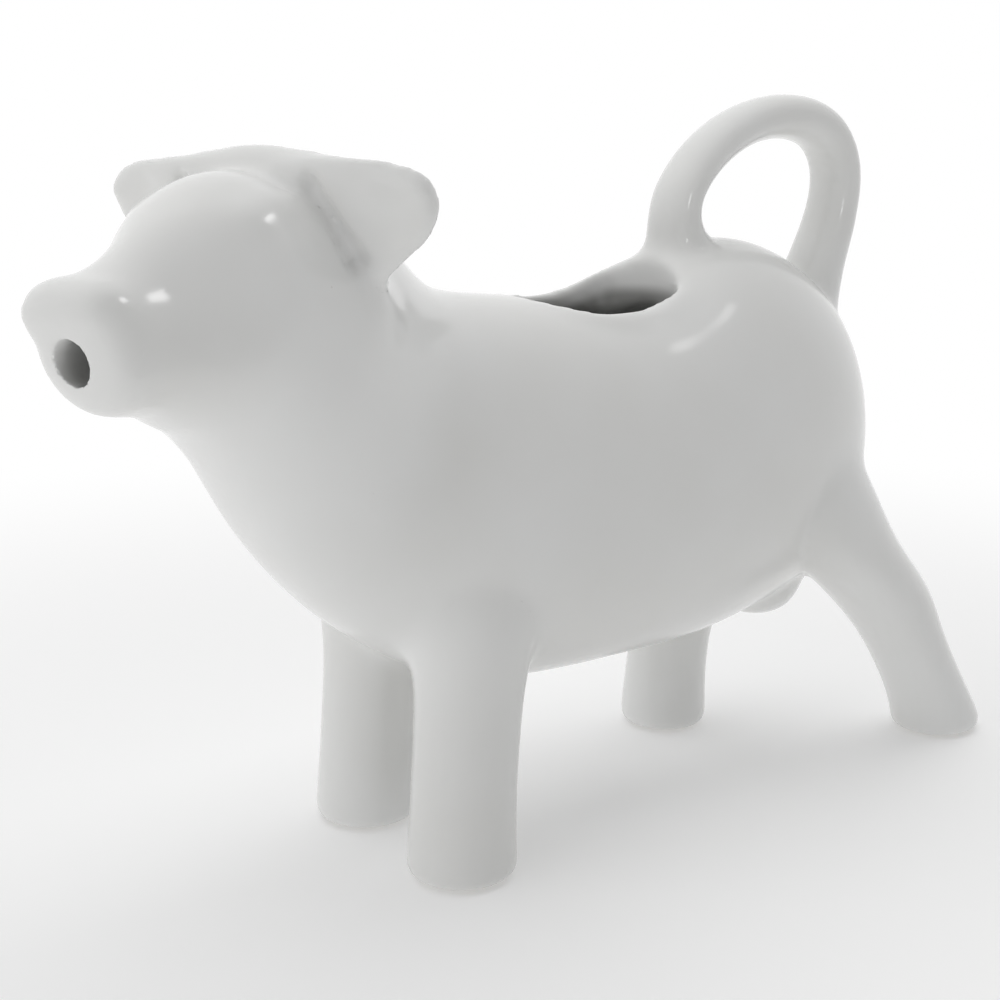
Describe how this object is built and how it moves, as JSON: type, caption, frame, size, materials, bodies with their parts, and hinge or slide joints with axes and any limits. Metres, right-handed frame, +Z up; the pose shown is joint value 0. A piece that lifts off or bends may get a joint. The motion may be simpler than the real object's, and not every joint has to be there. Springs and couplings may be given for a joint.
{
  "type": "cow creamer",
  "caption": "Small white glazed porcelain milk jug in the shape of a walking cow: filled through the back, poured through the mouth and held by the looped tail.",
  "frame": {"origin": "on the table, under the middle of the cow's bounding box", "axes": "+Z up, -X the way the cow walks, +X towards the tail loop, -Y the cow's left side"},
  "size_m": [0.161, 0.054, 0.1044],
  "materials": {
    "white_glaze": "gloss"
  },
  "bodies": {
    "root": {"body": "white_glaze", "head": "white_glaze", "left_ear": "white_glaze", "right_ear": "white_glaze", "tail_handle": "white_glaze", "front_left_leg": "white_glaze", "front_right_leg": "white_glaze", "rear_left_leg": "white_glaze", "rear_right_leg": "white_glaze", "udder": "white_glaze"}
  },
  "joints": []
}
